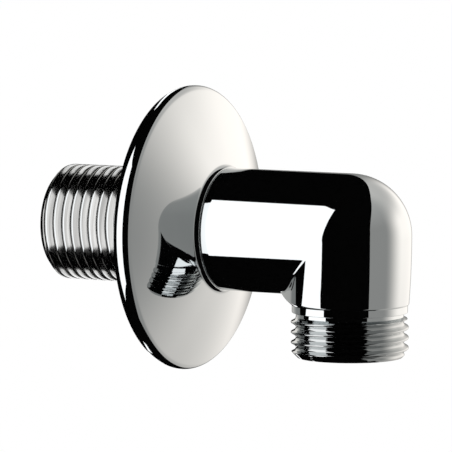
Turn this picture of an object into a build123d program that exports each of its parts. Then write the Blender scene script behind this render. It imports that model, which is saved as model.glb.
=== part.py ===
"""Wall outlet elbow: a chrome-plated brass elbow with a half-inch pipe thread at each end, and the
loose conical rosette that hides the hole in the wall.

Millimetres. The origin is where the inlet's axis meets the wall. +X leaves the wall and +Z is up, so
the inlet spigot points along -X into the wall and the outlet points down."""
import os
from math import asin, atan2, cos, hypot, pi, radians, sin, tan

from build123d import *

# Half-inch parallel pipe thread of both ends, modelled at its outside diameter
thread_diameter = 20.955
thread_depth = 1.162

# Horizontal run of the elbow
inlet_length = 23.7
inlet_thread_length = 26.7
shoulder_distance = 10.05
shoulder_step = 0.52
shoulder_chamfer = 0.3

# Corner and outlet leg
outlet_reach = 34.5
leg_drop = 1.4
nose_angle = 90.0
crease_radius = 0.8
foot_slope = 41.0
foot_edge_radius = 0.4

# Turned outlet end below the leg
neck_step = 0.7
neck_length = 1.3
outlet_thread_length = 7.3

# Relief groove at the inner end of both threads
relief_depth = 0.9
relief_length = 0.7

# Waterway through the elbow
waterway_diameter = 15.0

# Pressed sheet rosette
rosette_diameter = 51.2
rosette_sheet = 0.5
rosette_side_radius = 2.7
rosette_curl = 62.7
rosette_lip = 0.4
rosette_rim_radius = 1.55
rosette_flare_radius = 1.2
rosette_clearance = 0.15
rosette_bands = 3

thread_radius = thread_diameter / 2
thread_end_radius = thread_radius - thread_depth
tube_radius = thread_radius + shoulder_step
neck_radius = tube_radius - neck_step
relief_radius = thread_radius - relief_depth
waterway_radius = waterway_diameter / 2

leg_length = tube_radius + leg_drop
neck_end = leg_length + neck_length
relief_end = neck_end + relief_length
outlet_drop = relief_end + outlet_thread_length
inlet_thread_end = inlet_thread_length - inlet_length

outlet_axis = Axis((outlet_reach, 0, 0), (0, 0, 1))
corner_axis = Axis((outlet_reach, 0, 0), (0, 1, 0))


def turned_about_inlet(profile):
    """Solid turned about the inlet's axis from (x, radius) corners."""
    outline = Polyline(*[(x, 0, radius) for x, radius in profile], close=True)
    return revolve(make_face(outline), axis=Axis.X)


def turned_about_outlet(profile):
    """Solid turned about the outlet's axis from (radius, z) corners."""
    outline = Polyline(*[(outlet_reach + radius, 0, z) for radius, z in profile], close=True)
    return revolve(make_face(outline), axis=outlet_axis)


def inlet_run():
    """Threaded spigot, relief groove, plain seat for the rosette and the wider tube past its shoulder."""
    return turned_about_inlet(
        [
            (-inlet_length, 0),
            (-inlet_length, thread_end_radius),
            (thread_depth - inlet_length, thread_radius),
            (inlet_thread_end, thread_radius),
            (inlet_thread_end, relief_radius),
            (inlet_thread_end + relief_length, relief_radius),
            (inlet_thread_end + relief_length, thread_radius),
            (shoulder_distance, thread_radius),
            (shoulder_distance, tube_radius - shoulder_chamfer),
            (shoulder_distance + shoulder_chamfer, tube_radius),
            (outlet_reach, tube_radius),
            (outlet_reach, 0),
        ]
    )


def corner_ball(radius):
    """Quarter of a ball that closes the outside of the corner."""
    rim = ThreePointArc((outlet_reach, -radius, 0), (outlet_reach, 0, radius), (outlet_reach, radius, 0))
    half_disc = make_face(rim + Line(rim @ 1, rim @ 0))
    return revolve(half_disc, axis=corner_axis, revolution_arc=90)


def outlet_leg():
    """Round leg with a square-edged nose into the inner corner. The sloping foot, turned about the
    outlet's axis, trims both of them down to the neck."""
    half_angle = radians(nose_angle / 2)
    nose_tip = outlet_reach - tube_radius / sin(half_angle)
    tangent_x = outlet_reach - tube_radius * sin(half_angle)
    tangent_y = tube_radius * cos(half_angle)
    nose = Polyline(
        (outlet_reach, 0),
        (tangent_x, -tangent_y),
        (nose_tip, 0),
        (tangent_x, tangent_y),
        close=True,
    )
    section = Pos(outlet_reach, 0) * Circle(tube_radius) + make_face(nose)
    leg = extrude(Pos(0, 0, -leg_length) * section, leg_length)
    foot_reach = neck_radius + leg_length / tan(radians(foot_slope))
    foot = turned_about_outlet([(0, -leg_length), (neck_radius, -leg_length), (foot_reach, 0), (0, 0)])
    leg = leg & foot
    return fillet(leg.edges().filter_by(GeomType.HYPERBOLA), foot_edge_radius)


def outlet_end():
    """Neck ring, relief groove and threaded spigot below the leg."""
    return turned_about_outlet(
        [
            (0, -leg_length),
            (neck_radius, -leg_length),
            (neck_radius, -neck_end),
            (relief_radius, -neck_end),
            (relief_radius, -relief_end),
            (thread_radius, -relief_end),
            (thread_radius, thread_depth - outlet_drop),
            (thread_end_radius, -outlet_drop),
            (0, -outlet_drop),
        ]
    )


def waterway():
    """Inlet and outlet bores, joined by a ball at the corner."""
    inlet_bore = turned_about_inlet(
        [
            (-inlet_length, 0),
            (-inlet_length, waterway_radius),
            (outlet_reach, waterway_radius),
            (outlet_reach, 0),
        ]
    )
    outlet_bore = turned_about_outlet(
        [
            (0, 0),
            (waterway_radius, 0),
            (waterway_radius, -outlet_drop),
            (0, -outlet_drop),
        ]
    )
    return inlet_bore + outlet_bore + corner_ball(waterway_radius)


def elbow_body():
    """The one-piece elbow, from the inlet's free end to the outlet's."""
    outside = inlet_run() + corner_ball(tube_radius) + outlet_leg()
    crease = outside.edges().filter_by(GeomType.ELLIPSE)
    outside = fillet(crease, crease_radius)
    return outside + outlet_end() - waterway()


def banded(centre, radius, start_angle, end_angle):
    """Corners of straight bands along a small arc, which leave it by up to five hundredths of a millimetre
    and need far fewer facets than a rounded ring."""
    step = (end_angle - start_angle) / rosette_bands
    angles = [start_angle + step * band for band in range(rosette_bands + 1)]
    return [(centre.X + radius * cos(angle), centre.Y + radius * sin(angle)) for angle in angles]


def rosette():
    """Conical sheet rosette. Its side curls in to a narrow lip on the wall, and its top flares up to the
    tube's shoulder. It is drawn in (x, radius), with a straight cone from the rim to the flare."""
    rim = rosette_diameter / 2
    collar = thread_radius + rosette_clearance + rosette_sheet
    curl = radians(rosette_curl)
    rim_height = rosette_side_radius * sin(curl)
    side_centre = Vector(rim_height, rim - rosette_side_radius)
    rim_centre = Vector(rim_height, rim - rosette_rim_radius)
    flare_centre = Vector(shoulder_distance, collar + rosette_flare_radius)
    rise = flare_centre.X - rim_centre.X
    run = rim_centre.Y - flare_centre.Y
    slope = atan2(rise, run) - asin((rosette_rim_radius + rosette_flare_radius) / hypot(rise, run))
    lip = side_centre.Y + rosette_side_radius * cos(curl) - rosette_lip
    inside_rim = rim - rosette_sheet
    inside_collar = collar - rosette_sheet
    inside_tip = rim_centre.X + rim_centre.Y * tan(slope) + (rosette_rim_radius - rosette_sheet) / cos(slope)
    return turned_about_inlet(
        [
            (0, lip),
            *banded(side_centre, rosette_side_radius, pi / 2 + curl, pi / 2),
            *banded(rim_centre, rosette_rim_radius, pi / 2, slope)[1:],
            *banded(flare_centre, rosette_flare_radius, pi + slope, 3 * pi / 2),
            (shoulder_distance, inside_collar),
            (inside_tip - inside_collar * tan(slope), inside_collar),
            (inside_tip - inside_rim * tan(slope), inside_rim),
            (rim_height, inside_rim),
            (rosette_sheet, lip),
        ]
    )


os.makedirs("parts", exist_ok=True)
export_step(elbow_body(), "parts/elbow_body.step")
export_step(rosette(), "parts/rosette.step")
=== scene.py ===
"""Looks of the wall outlet elbow: the elbow with its two cut threads, the pressed rosette, their chrome,
and the studio that the chrome mirrors.

Sizes are in millimetres and become metres where a mesh or the camera is made."""
from math import asin, atan2, ceil, cos, exp, floor, hypot, pi, radians, sin, sqrt, tan

import bmesh
import bpy
import numpy as np
from mathutils import Matrix, Vector


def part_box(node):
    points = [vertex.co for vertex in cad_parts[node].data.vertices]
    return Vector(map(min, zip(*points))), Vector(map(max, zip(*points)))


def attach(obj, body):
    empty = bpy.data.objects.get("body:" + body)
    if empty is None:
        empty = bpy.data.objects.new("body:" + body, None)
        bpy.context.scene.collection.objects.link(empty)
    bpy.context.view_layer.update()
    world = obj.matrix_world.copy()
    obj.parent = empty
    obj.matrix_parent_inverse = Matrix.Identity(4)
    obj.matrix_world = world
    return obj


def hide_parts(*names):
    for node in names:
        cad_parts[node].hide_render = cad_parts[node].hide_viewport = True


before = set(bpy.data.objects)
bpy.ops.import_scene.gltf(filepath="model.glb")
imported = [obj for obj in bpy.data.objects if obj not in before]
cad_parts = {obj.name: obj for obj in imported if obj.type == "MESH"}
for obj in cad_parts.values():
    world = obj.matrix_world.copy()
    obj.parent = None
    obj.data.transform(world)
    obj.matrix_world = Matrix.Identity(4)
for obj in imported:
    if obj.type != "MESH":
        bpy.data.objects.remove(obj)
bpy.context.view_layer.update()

metre = 1000

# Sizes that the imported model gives
elbow_low, elbow_high = [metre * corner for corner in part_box("elbow_body")]
_, rosette_high = [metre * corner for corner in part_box("rosette")]
inlet_length = -elbow_low.x
tube_radius = elbow_high.y
outlet_reach = elbow_high.x - tube_radius
outlet_drop = -elbow_low.z
rim_radius = rosette_high.y
shoulder_distance = rosette_high.x

# Half-inch pipe thread of both ends, with the x or z of one crest on the first column
thread_radius = 10.4775
thread_pitch = 1.814
thread_depth = 1.162
inlet_thread_end = 3.0
inlet_crest = -18.945
outlet_crest = -15.543
run_out_slope = 2

# Outlet thread: round crests and wider round roots
crest_radius = 0.249
root_radius = 0.49
root_depth = 0.88
flank_angle = radians(27.5)

# Inlet thread: shallow narrow grooves between wide flat crests, which lean at both edges
groove_half_width = 0.2
groove_depth = 0.13
bright_edge = 0.24
bright_edge_depth = 0.021
worn_edge = 0.4
worn_edge_depth = 0.03

# Corner, foot and turned end of the elbow. The nose's reach is in tube radii from the outlet's axis, and
# the foot's rounded edge takes up at most a share of the leg's side above it.
corner_room = 17.5
nose_half_angle = pi / 4
nose_reach = sqrt(2)
leg_length = 12.3975
leg_taper = 0.46
crease_radius = 0.8
foot_slope = radians(41)
foot_edge_radius = 0.3
foot_edge_share = 1 / 4
neck_step = 0.7
neck_length = 1.3
relief_depth = 0.9
relief_length = 0.7
shoulder_edge_radius = 0.3
turned_edge_radius = 0.12
waterway_radius = 7.5
mouth_chamfer = 0.5

# Pressed sheet rosette
sheet = 0.5
rosette_clearance = 0.15
side_radius = 2.7
curl = radians(62.7)
wall_lip = 0.4
rim_edge_radius = 1.55
crown_half_angle = radians(2.8)
flare_radius = 1.5
flare_start = radians(45)
flare_end = radians(82)
flare_foot = 0.15
collar_edge_radius = 0.12

# Fineness of the meshes. The welding distance is in metres.
columns = 192
rosette_columns = 256
turn_steps = 24
edge_steps = 7
side_steps = 28
rim_steps = 20
crown_steps = 48
flare_steps = 24
flare_eased_steps = 3
leg_rows = 10
foot_rows = 6
crest_steps = 7
groove_steps = 13
bright_rows = 2
spare_turns = 2
support = 0.06
plain_length = 5 * support
cosine_margin = 1e-9
weld_distance = 2e-6
sharp_angle = radians(35)

# Materials of the elbow, by their number in its list
polished, inlet_cut, outlet_cut, raw = range(4)

thread_end_radius = thread_radius - thread_depth
relief_radius = thread_radius - relief_depth
neck_radius = tube_radius - neck_step
neck_end = leg_length + neck_length
relief_end = neck_end + relief_length
straight_end = outlet_reach - corner_room
mouth_radius = waterway_radius + mouth_chamfer
collar_radius = thread_radius + rosette_clearance + sheet
rim_height = side_radius * sin(curl)
rim_centre = (rim_height, rim_radius - rim_edge_radius)
column_angles = 2 * pi * np.arange(columns) / columns
rosette_angles = 2 * pi * np.arange(rosette_columns) / rosette_columns


def about_inlet(places, radii, angles):
    """Grid of points at places along the inlet's axis and radii from it. Its columns start below the axis
    and go round towards -Y."""
    across = -radii * np.sin(angles)
    upward = -radii * np.cos(angles)
    return np.stack(np.broadcast_arrays(places, across, upward), axis=2)


def about_outlet(radii, heights, angles):
    """Grid of points at radii from the outlet's axis and heights, with columns in step with the inlet's."""
    along = outlet_reach - radii * np.cos(angles)
    across = -radii * np.sin(angles)
    return np.stack(np.broadcast_arrays(along, across, heights), axis=2)


def rings_about_inlet(profile, angles):
    """Rings about the inlet's axis through (x, radius) points."""
    places, radii = np.split(np.array(profile), 2, axis=1)
    return about_inlet(places, radii, angles)


def rings_about_outlet(profile, angles):
    """Rings about the outlet's axis through (radius, z) points."""
    radii, heights = np.split(np.array(profile), 2, axis=1)
    return about_outlet(radii, heights, angles)


def grid_of_columns(column):
    """Grid of the columns that a function gives about the outlet's axis, one for each angle."""
    points = np.array([column(angle) for angle in column_angles])
    return np.swapaxes(points, 0, 1) + np.array([outlet_reach, 0, 0])


def eased_corner(start, corner, end, steps):
    """Points of a curve from start to end that leaves and arrives along the lines to the corner."""
    start, corner, end = np.array(start), np.array(corner), np.array(end)
    turns = np.linspace(0, pi / 2, steps)
    return [corner + (1 - sin(t)) * (start - corner) + (1 - cos(t)) * (end - corner) for t in turns]


def supported(points):
    """The points with two more on each long straight, close to its ends, so that flat faces shade flat."""
    full = [np.array(points[0], float)]
    for point in points[1:]:
        before = full[-1]
        after = np.array(point, float)
        length = np.linalg.norm(after - before)
        if length > plain_length:
            full.append(before + (after - before) * support / length)
            full.append(after + (before - after) * support / length)
        full.append(after)
    return full


def rounded_profile(corners, radii):
    """Profile through the corners, with each inner corner rounded by its radius."""
    corners = [np.array(corner, float) for corner in corners]
    points = [corners[0]]
    for before, corner, after, radius in zip(corners, corners[1:], corners[2:], radii):
        if radius == 0:
            points.append(corner)
            continue
        back = (before - corner) / np.linalg.norm(before - corner)
        ahead = (after - corner) / np.linalg.norm(after - corner)
        reach = radius / tan(np.arccos(np.clip(back @ ahead, -1, 1)) / 2)
        points.extend(eased_corner(corner + reach * back, corner, corner + reach * ahead, edge_steps))
    points.append(corners[-1])
    return supported(points)


def arc_points(centre, radius, start, end, steps):
    """Points of an arc between two angles."""
    angles = np.linspace(start, end, steps)
    return [(centre[0] + radius * cos(t), centre[1] + radius * sin(t)) for t in angles]


def full_form():
    """One pitch of the outlet's thread, as axial offsets from a crest and the depths there. Straight flanks
    join the round crest and root."""
    spread = np.linspace(flank_angle - pi / 2, pi / 2 - flank_angle, crest_steps)
    crest_offsets = crest_radius * np.sin(spread)
    root_offsets = thread_pitch / 2 + root_radius * np.sin(spread)
    crest_depths = crest_radius * (1 - np.cos(spread))
    root_depths = root_depth - root_radius * (1 - np.cos(spread))
    return np.concatenate([crest_offsets, root_offsets]), np.concatenate([crest_depths, root_depths])


def flat_form():
    """One pitch of the inlet's thread, as axial offsets from the middle of a flat crest and the depths there.
    The crest leans at both edges towards the groove, which comes last in the pitch."""
    edge = thread_pitch / 2 - groove_half_width
    shares = np.linspace(-1, 1, groove_steps)
    crest_offsets = [bright_edge - edge, 0, edge - worn_edge, edge - worn_edge / 2]
    groove_offsets = thread_pitch / 2 + groove_half_width * shares
    offsets = np.concatenate([crest_offsets, groove_offsets])
    lean = np.interp(
        offsets,
        [bright_edge - edge, edge - worn_edge, edge, thread_pitch - edge],
        [0, 0, worn_edge_depth, bright_edge_depth],
    )
    groove = groove_depth * (1 + np.cos(pi * shares)) / 2
    return offsets, lean + np.concatenate([np.zeros(len(crest_offsets)), groove])


def thread_grid(form, low, high, crest, hand):
    """Axial place and radius of every point of a helical grid from low to high, and its shift at the seam.
    The thread starts in a chamfer at its low free end and runs out steeply into the relief groove. Its
    crests rise from column to column where the hand is 1, and fall where it is -1."""
    pitch_offsets, pitch_depths = form
    first = floor((low - crest) / thread_pitch) - spare_turns
    last = ceil((high - crest) / thread_pitch) + spare_turns + 1
    offsets = np.concatenate([turn * thread_pitch + pitch_offsets for turn in range(first, last)])
    depths = np.tile(pitch_depths, last - first)
    rise = hand * thread_pitch * np.arange(columns) / columns
    places = np.clip(crest + offsets[:, None] + rise, low, high)
    run_out = run_out_slope * (high - places)
    top = np.minimum(thread_end_radius + places - low, relief_radius + run_out)
    bottom = np.maximum(relief_radius - run_out, thread_end_radius)
    radii = np.clip(thread_radius - depths[:, None], bottom, np.minimum(top, thread_radius))
    return places, radii, hand * len(pitch_offsets)


def inlet_thread():
    """Helical grid of the inlet's thread, with its seam's shift and its rows' materials. The rows along one
    edge of the crests are polished."""
    places, radii, shift = thread_grid(flat_form(), -inlet_length, inlet_thread_end, inlet_crest, -1)
    pitch_rows = abs(shift)
    bright = np.arange(len(places)) % pitch_rows >= pitch_rows - bright_rows
    return about_inlet(places, radii, column_angles), shift, np.where(bright, polished, inlet_cut)


def outlet_thread():
    """Helical grid of the outlet's thread, with its seam's shift and its material."""
    places, radii, shift = thread_grid(full_form(), -outlet_drop, -relief_end, outlet_crest, 1)
    return about_outlet(radii, places, column_angles), shift, outlet_cut


def foot_height(radius):
    """Height of the sloping foot at a distance from the outlet's axis."""
    return (radius - neck_radius) * tan(foot_slope) - leg_length


def foot_point(foot, share):
    """Point on the foot, a share of the way from its outer edge to the neck, about the outlet's axis. The
    foot is given by its edge's radius and angle, and its angle at the neck."""
    edge_radius, edge_angle, neck_angle = foot
    radius = edge_radius + (neck_radius - edge_radius) * share
    angle = edge_angle + (neck_angle - edge_angle) * share
    return np.array([-radius * cos(angle), -radius * sin(angle), foot_height(radius)])


def foot_share(foot, reach):
    """Share of the foot that lies within a reach of its outer edge."""
    return reach / np.linalg.norm(foot_point(foot, 1) - foot_point(foot, 0))


def foot_run(foot, start_share):
    """Points down the foot to the neck, from a share of the way."""
    return [foot_point(foot, share) for share in np.linspace(start_share, 1, foot_rows)]


def straight_run(start, end):
    """Points from start to end, closest together at both ends."""
    shares = (1 - np.cos(np.linspace(0, pi, leg_rows))) / 2
    return [start + (end - start) * share for share in shares]


def tube_run(end):
    """Points along the tube from the end of its plain rings, about the outlet's axis."""
    return straight_run(np.array([straight_end - outlet_reach, end[1], end[2]]), end)


def drawn_in(points, share):
    """The points of a run down the leg, drawn in towards the outlet's axis by up to a share at the foot."""
    top, foot = points[0][2], points[-1][2]
    moved = []
    for point in points:
        keep = 1 - share * ((point[2] - top) / (foot - top)) ** 2
        moved.append(point * np.array([keep, keep, 1]))
    return moved


def crease_turn(corner, angle, nosed, drop):
    """Turn from the tube down the leg's inside, small enough for the drop to the foot."""
    along = crease_radius * (nose_reach - abs(sin(angle)) if nosed else cos(angle))
    down = crease_radius * cos(angle)
    fit = min(1, drop / 2 / down)
    turn_start = corner - np.array([along * fit, 0, 0])
    turn_end = corner - np.array([0, 0, down * fit])
    return eased_corner(turn_start, corner, turn_end, turn_steps)


def ball_turn(across, under):
    """Turn round the ball outside the corner."""
    turns = np.linspace(0, pi / 2, turn_steps)
    return [np.array([under * sin(t), across, under * cos(t)]) for t in turns]


def trimmed_column(across, under, neck_angle, depth):
    """A column under the tube, where the sloping foot meets the tube and there is no side of the nose."""
    edge_radius = neck_radius + (under + leg_length) / tan(foot_slope)
    side = -sqrt(edge_radius**2 - across**2)
    corner = np.array([side, across, under])
    foot = (edge_radius, atan2(-across, -side), neck_angle)
    reach = min(crease_radius / 2, depth / 2)
    start_share = foot_share(foot, reach)
    foot_start = foot_point(foot, start_share)
    turn = eased_corner(corner - np.array([reach, 0, 0]), corner, foot_start, turn_steps)
    folded = [foot_start] * (leg_rows + edge_steps)
    return tube_run(turn[0]) + turn + folded + foot_run(foot, start_share)


def leg_column(angle):
    """One column of the corner and the leg, from the straight tube to the neck, about the outlet's axis.
    Outside, it goes round a ball. Inside, it turns down a nose with two flat sides, trimmed by the foot."""
    across = -tube_radius * sin(angle)
    under = -tube_radius * cos(angle)
    inside = cos(angle) > 0
    nosed = cos(angle) > cos(nose_half_angle) + cosine_margin
    side = abs(across) - tube_radius * nose_reach if nosed else under
    neck_angle = angle if angle <= pi else angle - 2 * pi
    edge_radius = hypot(side, across)
    drop = under - foot_height(edge_radius)
    if inside and drop <= 0:
        return trimmed_column(across, under, neck_angle, -drop)
    if inside:
        turn = crease_turn(np.array([side, across, under]), angle, nosed, drop)
        taper = leg_taper * max(0, 1 - cos(angle) / cos(nose_half_angle))
    else:
        turn = ball_turn(across, under)
        taper = leg_taper
    share = taper / edge_radius
    foot = (edge_radius * (1 - share), atan2(-across, -side), neck_angle)
    edge = foot_point(foot, 0)
    reach = min(foot_edge_radius * tan((pi / 2 - foot_slope) / 2), drop * foot_edge_share)
    start_share = foot_share(foot, reach)
    run = drawn_in(straight_run(turn[-1], np.array([side, across, edge[2] + reach])), share)
    foot_edge = eased_corner(run[-1], edge, foot_point(foot, start_share), edge_steps)
    return tube_run(turn[0]) + turn + run + foot_edge + foot_run(foot, start_share)


def bore_column(angle):
    """One column of the waterway's corner, from the outlet's run back to the inlet's."""
    across = -waterway_radius * sin(angle)
    under = -waterway_radius * cos(angle)
    if under > 0:
        turns = np.linspace(0, pi / 2, turn_steps)
        return [np.array([under * cos(t), across, under * sin(t)]) for t in turns]
    reach = shoulder_edge_radius * cos(angle)
    corner = np.array([under, across, under])
    turn_start = corner - np.array([0, 0, reach])
    turn_end = corner - np.array([reach, 0, 0])
    return eased_corner(turn_start, corner, turn_end, turn_steps)


def grid_faces(rows, count, shift):
    """Quads of a grid that closes on itself after the last column, shifted by some rows at that seam."""
    faces = []
    for column in range(count):
        after = (column + 1) % count
        step = shift if after == 0 else 0
        for row in range(rows - 1):
            other = row + step
            if 0 <= other < rows - 1:
                corners = [(row, column), (row + 1, column), (other + 1, after), (other, after)]
                faces.append([place * count + around for place, around in corners])
    return faces


def add_object(name, data):
    """A new object in the scene."""
    made = bpy.data.objects.new(name, data)
    bpy.context.scene.collection.objects.link(made)
    return made


def weld(mesh):
    """Join the points that the grids share along their edges, and turn the faces outwards."""
    edited = bmesh.new()
    edited.from_mesh(mesh)
    bmesh.ops.remove_doubles(edited, verts=edited.verts, dist=weld_distance)
    bmesh.ops.recalc_face_normals(edited, faces=edited.faces)
    edited.to_mesh(mesh)
    edited.free()


def piece_from_grids(name, grids, materials):
    """One welded object from grids, each given as its points, its shift at the seam, and the number of its
    material or of each row's."""
    points, faces, numbers = [], [], []
    for grid, shift, number in grids:
        rows, count = grid.shape[:2]
        row_numbers = np.broadcast_to(number, rows)
        for face in grid_faces(rows, count, shift):
            faces.append([len(points) + index for index in face])
            numbers.append(row_numbers[face[0] // count])
        points.extend((grid.reshape(-1, 3) / metre).tolist())
    mesh = bpy.data.meshes.new(name)
    mesh.from_pydata(points, [], faces)
    for material in materials:
        mesh.materials.append(material)
    mesh.polygons.foreach_set("material_index", numbers)
    weld(mesh)
    mesh.polygons.foreach_set("use_smooth", [True] * len(mesh.polygons))
    mesh.set_sharp_from_angle(angle=sharp_angle)
    return add_object(name, mesh)


def inlet_face_profile():
    """The inlet's end face, from the waterway to the thread, as (x, radius) points."""
    return rounded_profile(
        [
            (mouth_chamfer - inlet_length, waterway_radius),
            (-inlet_length, mouth_radius),
            (-inlet_length, thread_end_radius),
        ],
        [0],
    )


def seat_profile():
    """Relief groove, the rosette's seat, the shoulder and the straight tube, as (x, radius) points."""
    relief_out = inlet_thread_end + relief_length
    return rounded_profile(
        [
            (inlet_thread_end, relief_radius),
            (relief_out, relief_radius),
            (relief_out, thread_radius),
            (shoulder_distance, thread_radius),
            (shoulder_distance, tube_radius),
            (straight_end, tube_radius),
        ],
        [0, turned_edge_radius, 0, shoulder_edge_radius],
    )


def neck_profile():
    """Neck ring and relief groove above the outlet's thread, as (radius, z) points."""
    return rounded_profile(
        [
            (neck_radius, -leg_length),
            (neck_radius, -neck_end),
            (relief_radius, -neck_end),
            (relief_radius, -relief_end),
        ],
        [turned_edge_radius, 0],
    )


def outlet_face_profile():
    """The outlet's end face, from the thread to the waterway, as (radius, z) points."""
    return rounded_profile(
        [
            (thread_end_radius, -outlet_drop),
            (mouth_radius, -outlet_drop),
            (waterway_radius, mouth_chamfer - outlet_drop),
        ],
        [0],
    )


def elbow_piece(materials):
    """The elbow, from the inlet's end face over the outside to the outlet's and back through the bore."""
    inlet_face = rings_about_inlet(inlet_face_profile(), column_angles)
    outlet_face = rings_about_outlet(outlet_face_profile(), column_angles)
    bore = grid_of_columns(bore_column)
    grids = [
        (inlet_face, 0, inlet_cut),
        inlet_thread(),
        (rings_about_inlet(seat_profile(), column_angles), 0, polished),
        (grid_of_columns(leg_column), 0, polished),
        (rings_about_outlet(neck_profile(), column_angles), 0, polished),
        outlet_thread(),
        (outlet_face, 0, outlet_cut),
        (np.concatenate([outlet_face[-1:], bore[:1]]), 0, raw),
        (bore, 0, raw),
        (np.concatenate([bore[-1:], inlet_face[:1]]), 0, raw),
    ]
    piece = piece_from_grids("elbow", grids, materials)
    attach(piece, "root")
    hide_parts("elbow_body")


def rosette_outside():
    """Outside of the pressed sheet, as (x, radius) points from its lip on the wall over the curled side, the
    rim, the slightly crowned cone and the steep flare to the collar. Also gives the cone's slope."""
    side = arc_points((rim_height, rim_radius - side_radius), side_radius, pi / 2 + curl, pi / 2, side_steps)
    flare_centre = (
        shoulder_distance + flare_radius * cos(flare_end),
        collar_radius + flare_radius * sin(flare_end),
    )
    flare = arc_points(flare_centre, flare_radius, pi + flare_start, pi + flare_end, flare_steps)
    rise = flare[0][0] - rim_centre[0]
    run = rim_centre[1] - flare[0][1]
    slope = atan2(rise, run) - asin(rim_edge_radius * cos(crown_half_angle) / hypot(rise, run))
    crown_start = slope + crown_half_angle
    rim = arc_points(rim_centre, rim_edge_radius, pi / 2, crown_start, rim_steps)
    crown_chord = hypot(flare[0][0] - rim[-1][0], flare[0][1] - rim[-1][1])
    crown_radius = crown_chord / 2 / sin(crown_half_angle)
    crown_centre = (
        rim[-1][0] - crown_radius * cos(crown_start),
        rim[-1][1] - crown_radius * sin(crown_start),
    )
    crown_end = slope - crown_half_angle + flare_foot / crown_radius
    crown = arc_points(crown_centre, crown_radius, crown_start, crown_end, crown_steps)
    eased_foot = eased_corner(crown[-1], flare[0], flare[flare_eased_steps], edge_steps)
    middle_flare = flare[flare_eased_steps + 1 : -flare_eased_steps]
    collar_end = (shoulder_distance, collar_radius - collar_edge_radius)
    eased_collar = eased_corner(flare[-flare_eased_steps], flare[-1], collar_end, edge_steps)
    return side + rim[1:] + crown[1:-1] + eased_foot + middle_flare + eased_collar, slope


def rosette_profile():
    """Closed (x, radius) outline of the pressed sheet, with a plain inside."""
    outside, slope = rosette_outside()
    lip = outside[0][1] - wall_lip
    inside_rim = rim_radius - sheet
    inside_collar = collar_radius - sheet
    inside_tip = rim_centre[0] + rim_centre[1] * tan(slope) + (rim_edge_radius - sheet) / cos(slope)
    inside = [
        (shoulder_distance, inside_collar),
        (inside_tip - inside_collar * tan(slope), inside_collar),
        (inside_tip - inside_rim * tan(slope), inside_rim),
        (rim_height, inside_rim),
        (sheet, lip),
        (0, lip),
        outside[0],
    ]
    return supported(outside + inside)


def rosette_piece(material):
    """The rosette, turned about the inlet's axis from its outline."""
    rings = rings_about_inlet(rosette_profile(), rosette_angles)
    piece = piece_from_grids("rosette_shell", [(rings, 0, 0)], [material])
    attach(piece, "root")
    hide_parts("rosette")


# Grain of the chrome: the noise between these two levels runs from the darkest tint to the full colour, and
# the bump's height is in metres
grain_detail = 4
grain_dark_level = 0.3
grain_full_level = 0.7
bump_height = 0.0001


def add_grain(tree, scale):
    """Noise of a fine grain with its own scale along X, Y and Z."""
    place = tree.nodes.new("ShaderNodeTexCoord")
    stretch = tree.nodes.new("ShaderNodeMapping")
    stretch.inputs["Scale"].default_value = scale
    tree.links.new(place.outputs["Object"], stretch.inputs["Vector"])
    noise = tree.nodes.new("ShaderNodeTexNoise")
    noise.inputs["Scale"].default_value = 1
    noise.inputs["Detail"].default_value = grain_detail
    tree.links.new(stretch.outputs["Vector"], noise.inputs["Vector"])
    return noise.outputs["Fac"]


def chrome(name, colour, shade, roughness, grain, ripple):
    """Plated metal whose tint, roughness and surface vary with a fine procedural grain, given as its scale
    along X, Y and Z. The shade is the share of its colour that the darkest grain keeps."""
    material = bpy.data.materials.new(name)
    material.use_nodes = True
    tree = material.node_tree
    shader = tree.nodes["Principled BSDF"]
    shader.inputs["Metallic"].default_value = 1
    noise = add_grain(tree, grain)
    tint = tree.nodes.new("ShaderNodeValToRGB")
    darkest, full = tint.color_ramp.elements
    darkest.position = grain_dark_level
    darkest.color = (*[shade * part for part in colour], 1)
    full.position = grain_full_level
    full.color = (*colour, 1)
    tree.links.new(noise, tint.inputs["Fac"])
    tree.links.new(tint.outputs["Color"], shader.inputs["Base Color"])
    smoothest, roughest = roughness
    spread = tree.nodes.new("ShaderNodeMapRange")
    spread.inputs["To Min"].default_value = smoothest
    spread.inputs["To Max"].default_value = roughest
    tree.links.new(noise, spread.inputs["Value"])
    tree.links.new(spread.outputs["Result"], shader.inputs["Roughness"])
    bump = tree.nodes.new("ShaderNodeBump")
    bump.inputs["Strength"].default_value = ripple
    bump.inputs["Distance"].default_value = bump_height
    tree.links.new(noise, bump.inputs["Height"])
    tree.links.new(bump.outputs["Normal"], shader.inputs["Normal"])
    return material


# Camera at the photograph's viewing angle, in degrees. It aims to the left of the corner and above it, and
# the nearest distance that it sees is in metres.
view_azimuth = 28.5
view_elevation = 5.4
view_distance = 880
lens_length = 395.6
sensor_width = 36
aim_left = 21.97
aim_up = 1.657
nearest_seen = 0.01

# Studio that the chrome mirrors. Places on the cards are in degrees, as an azimuth from the camera, positive
# to its right, and an elevation. Distances from the corner and the floor's sizes are in metres.
white = (1, 1, 1, 1)
cloth_colour = (0.0015, 0.0015, 0.0015, 1)
floor_depth = 0.45
floor_size = 60
surround_distance = 3.0
surround_grid = (90, 45)
light_distance = 2.8

# Softbox on the left
softbox_back = -101
softbox_front = -42
softbox_low = -39.5
softbox_high = 50
softbox_light = 1.4
softbox_grid = (24, 24)

# Black flag before the softbox, whose edge leans by a share of the elevation
flag_distance = 0.12
flag_edge = -52.4
flag_end = -15
flag_lean = 0.255
flag_height = 80
flag_grid = (12, 40)

# Outline of the panel on the right
panel_front = 36
panel_back = 181
panel_middle = 106
panel_high = 62
panel_low = -60
panel_low_back = 176
panel_roundness = 2.2
panel_grid = (152, 64)

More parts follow.
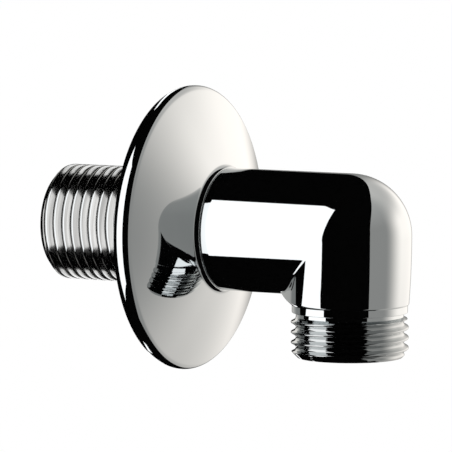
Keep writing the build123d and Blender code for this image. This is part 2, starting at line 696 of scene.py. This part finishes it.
# Grey of the panel, which grows with each degree above a level and dims towards the back
panel_tint = (1.0, 1.0, 0.97)
panel_grey = 0.31
panel_growth = 0.0033
panel_growth_level = 15
panel_dimming = 0.2
panel_dim_start = 158
panel_dim_width = 22

# Warm lamp behind the panel, even between its foot and top and fading beyond them
lamp_tint = (1.08, 1.0, 0.93)
lamp_start = 68
lamp_start_width = 47
lamp_end = 153
lamp_end_width = 22
lamp_top = 10.7
lamp_top_fade = 18
lamp_foot = 2.5
lamp_foot_fade = 31
lamp_spill = 0.153
lamp_peak = 0.815

# Two lights behind the inlet, by their x and the (y, z) of their ends, and a small flag below the outlet
backlight_left = -150
backlight_right = -122
backlight_top = ((91, 206), (214, 57))
backlight_foot = ((54, -219), (211, -63))
backlight_light = 1.4
outlet_flag_corners = ((-32, 16, -40), (-17, 37, -40), (0, 26, -70), (-15, 5, -70))


def direction(azimuth, elevation):
    """Unit vector from the part towards an azimuth and elevation of the studio."""
    turn = radians(view_azimuth) + radians(azimuth)
    rise = radians(elevation)
    return Vector((sin(turn) * cos(rise), -cos(turn) * cos(rise), sin(rise)))


def add_camera():
    """The camera, aimed so that the part fills the frame as in the photograph."""
    turn = radians(view_azimuth)
    right = Vector((cos(turn), sin(turn), 0))
    back = direction(0, view_elevation)
    up = back.cross(right)
    aim = Vector((outlet_reach, 0, 0)) - aim_left * right + aim_up * up
    place = (aim + view_distance * back) / metre
    lens = bpy.data.cameras.new("camera")
    lens.lens = lens_length
    lens.sensor_width = sensor_width
    lens.clip_start = nearest_seen
    camera = add_object("camera", lens)
    camera.matrix_world = Matrix.Translation(place) @ Matrix((right, up, back)).transposed().to_4x4()
    bpy.context.scene.camera = camera


def white_world():
    """Even white all round, for the background and the floor."""
    world = bpy.data.worlds.new("studio")
    bpy.context.scene.world = world
    world.use_nodes = True
    background = world.node_tree.nodes["Background"]
    background.inputs["Color"].default_value = white
    background.inputs["Strength"].default_value = 1


def add_floor():
    """Pale floor well below the part. Reflections see the black cloth in its place."""
    mesh = bpy.data.meshes.new("floor")
    half = floor_size / 2
    corners = [(-half, -half), (half, -half), (half, half), (-half, half)]
    mesh.from_pydata([(x, y, -floor_depth) for x, y in corners], [], [[0, 1, 2, 3]])
    material = bpy.data.materials.new("floor")
    material.use_nodes = True
    shader = material.node_tree.nodes["Principled BSDF"]
    shader.inputs["Base Color"].default_value = white
    shader.inputs["Roughness"].default_value = 1
    shader.inputs["Specular IOR Level"].default_value = 0
    mesh.materials.append(material)
    ground = add_object("floor", mesh)
    ground.visible_glossy = False


def plain_material(name, kind):
    """A new material with one shader, and that shader."""
    material = bpy.data.materials.new(name)
    material.use_nodes = True
    tree = material.node_tree
    tree.nodes.clear()
    shader = tree.nodes.new(kind)
    out = tree.nodes.new("ShaderNodeOutputMaterial")
    tree.links.new(shader.outputs[0], out.inputs["Surface"])
    return material, shader


def glow(name):
    """Light whose colour is kept in the mesh."""
    material, light = plain_material(name, "ShaderNodeEmission")
    material.cycles.emission_sampling = "NONE"
    tree = material.node_tree
    colour = tree.nodes.new("ShaderNodeAttribute")
    colour.attribute_name = "light"
    tree.links.new(colour.outputs["Color"], light.inputs["Color"])
    return material


def black_cloth():
    """Black cloth that gives back next to no light."""
    material, cloth = plain_material("black cloth", "ShaderNodeBsdfDiffuse")
    cloth.inputs["Color"].default_value = cloth_colour
    return material


def reflected_only(name, points, faces, material):
    """A studio card that only reflections show."""
    mesh = bpy.data.meshes.new(name)
    mesh.from_pydata(points, [], faces)
    mesh.materials.append(material)
    made = add_object(name, mesh)
    made.visible_camera = False
    made.visible_diffuse = False
    made.visible_shadow = False
    return made


def light_card(name, points, faces, colours):
    """A glowing card, with the colour of its light at each point."""
    made = reflected_only(name, points, faces, glow(name))
    light = made.data.attributes.new("light", "FLOAT_COLOR", "POINT")
    light.data.foreach_set("color", np.array([(*colour, 1) for colour in colours]).ravel())


def curved_card(distance, place, grid):
    """Places, points and faces of a card round the elbow's corner. A function gives the azimuth and elevation
    of each point from its shares across and up the card."""
    across, upward = grid
    shares = [(column / across, row / upward) for row in range(upward + 1) for column in range(across + 1)]
    places = [place(*share) for share in shares]
    middle = Vector((outlet_reach / metre, 0, 0))
    points = [middle + distance * direction(azimuth, elevation) for azimuth, elevation in places]
    faces = []
    for row in range(upward):
        for column in range(across):
            corner = row * (across + 1) + column
            faces.append([corner, corner + 1, corner + across + 2, corner + across + 1])
    return places, points, faces


def in_metres(corners):
    """Corners given in millimetres, as points of a mesh."""
    return (np.array(corners) / metre).tolist()


def surround_place(across, upward):
    """Azimuth and elevation on the black cloth, which goes all round."""
    return 360 * across - 180, 180 * upward - 90


def softbox_place(across, upward):
    """Azimuth and elevation on the softbox to the left."""
    elevation = softbox_low + (softbox_high - softbox_low) * upward
    return softbox_back + (softbox_front - softbox_back) * across, elevation


def flag_place(across, upward):
    """Azimuth and elevation on the black flag, whose edge leans towards the camera above the part."""
    elevation = flag_height * (2 * upward - 1)
    edge = flag_edge + flag_lean * max(elevation, 0)
    return edge + (flag_end - edge) * across, elevation


def rounded_off(azimuth, end):
    """Share of the panel's height that is left at an azimuth, where the panel ends in a curve at another."""
    share = abs((azimuth - panel_middle) / (end - panel_middle))
    return max(0, 1 - share**panel_roundness) ** (1 / panel_roundness)


def panel_place(across, upward):
    """Azimuth and elevation on the panel to the right. Its top is rounded off at both ends, and its foot at
    the back."""
    azimuth = panel_front + (panel_back - panel_front) * across
    at_front = azimuth < panel_middle
    high = panel_high * rounded_off(azimuth, panel_front if at_front else panel_back)
    low = panel_low if at_front else panel_low * rounded_off(azimuth, panel_low_back)
    return azimuth, low + (high - low) * upward


def eased_rise(value, start, width):
    """Smooth rise from 0 at the start to 1 a width further on."""
    share = min(max((value - start) / width, 0), 1)
    return share * share * (3 - 2 * share)


def panel_light(azimuth, elevation):
    """Light of the panel on the right: its grey, and the glow of the warm lamp behind its far half."""
    kept = 1 - panel_dimming * eased_rise(azimuth, panel_dim_start, panel_dim_width)
    grey = kept * (panel_grey + panel_growth * max(elevation - panel_growth_level, 0))
    begun = eased_rise(azimuth, lamp_start, lamp_start_width)
    ended = eased_rise(azimuth, lamp_end, lamp_end_width)
    above = max(elevation - lamp_top, 0) / lamp_top_fade
    below = max(lamp_foot - elevation, 0) / lamp_foot_fade
    lamp = begun * (1 - ended) * (lamp_spill + lamp_peak * exp(-((above + below) ** 2)))
    return [grey * plain + lamp * warm for plain, warm in zip(panel_tint, lamp_tint)]


def add_backlights():
    """Two flat cards beyond the inlet's end and behind it, one above and one below."""
    for ends in (backlight_top, backlight_foot):
        corners = [(x, y, z) for x in (backlight_left, backlight_right) for y, z in ends]
        colours = [[backlight_light] * 3] * len(corners)
        light_card("backlight", in_metres(corners), [[0, 1, 3, 2]], colours)


def add_studio():
    """The floor, and what the chrome mirrors: black cloth all round, a softbox on the left, a lit panel on
    the right, two lights behind the inlet, a black flag before the softbox, and a small flag that keeps the
    lower of the two lights off the outlet's end."""
    add_floor()
    cloth = black_cloth()
    _, points, faces = curved_card(surround_distance, surround_place, surround_grid)
    reflected_only("black surround", points, faces, cloth)
    _, points, faces = curved_card(light_distance, softbox_place, softbox_grid)
    light_card("softbox", points, faces, [[softbox_light] * 3] * len(points))
    places, points, faces = curved_card(light_distance, panel_place, panel_grid)
    light_card("panel", points, faces, [panel_light(*place) for place in places])
    add_backlights()
    _, points, faces = curved_card(flag_distance, flag_place, flag_grid)
    reflected_only("black flag", points, faces, cloth)
    reflected_only("outlet flag", in_metres(outlet_flag_corners), [[0, 1, 2, 3]], cloth)


polished_chrome = chrome(
    "polished chrome",
    colour=(0.735, 0.76, 0.77),
    shade=0.97,
    roughness=(0.015, 0.035),
    grain=(60, 60, 60),
    ripple=0.02,
)
inlet_chrome = chrome(
    "inlet thread chrome",
    colour=(0.60, 0.60, 0.59),
    shade=0.55,
    roughness=(0.12, 0.22),
    grain=(1500, 60, 60),
    ripple=0.15,
)
outlet_chrome = chrome(
    "outlet thread chrome",
    colour=(0.60, 0.62, 0.625),
    shade=0.9,
    roughness=(0.02, 0.05),
    grain=(90, 90, 2400),
    ripple=0.06,
)
bore_metal = chrome(
    "bore metal",
    colour=(0.62, 0.61, 0.59),
    shade=0.9,
    roughness=(0.25, 0.4),
    grain=(700, 700, 700),
    ripple=0.3,
)
elbow_piece([polished_chrome, inlet_chrome, outlet_chrome, bore_metal])
rosette_piece(polished_chrome)
add_camera()
white_world()
add_studio()

bpy.context.scene.view_settings.view_transform = "Standard"
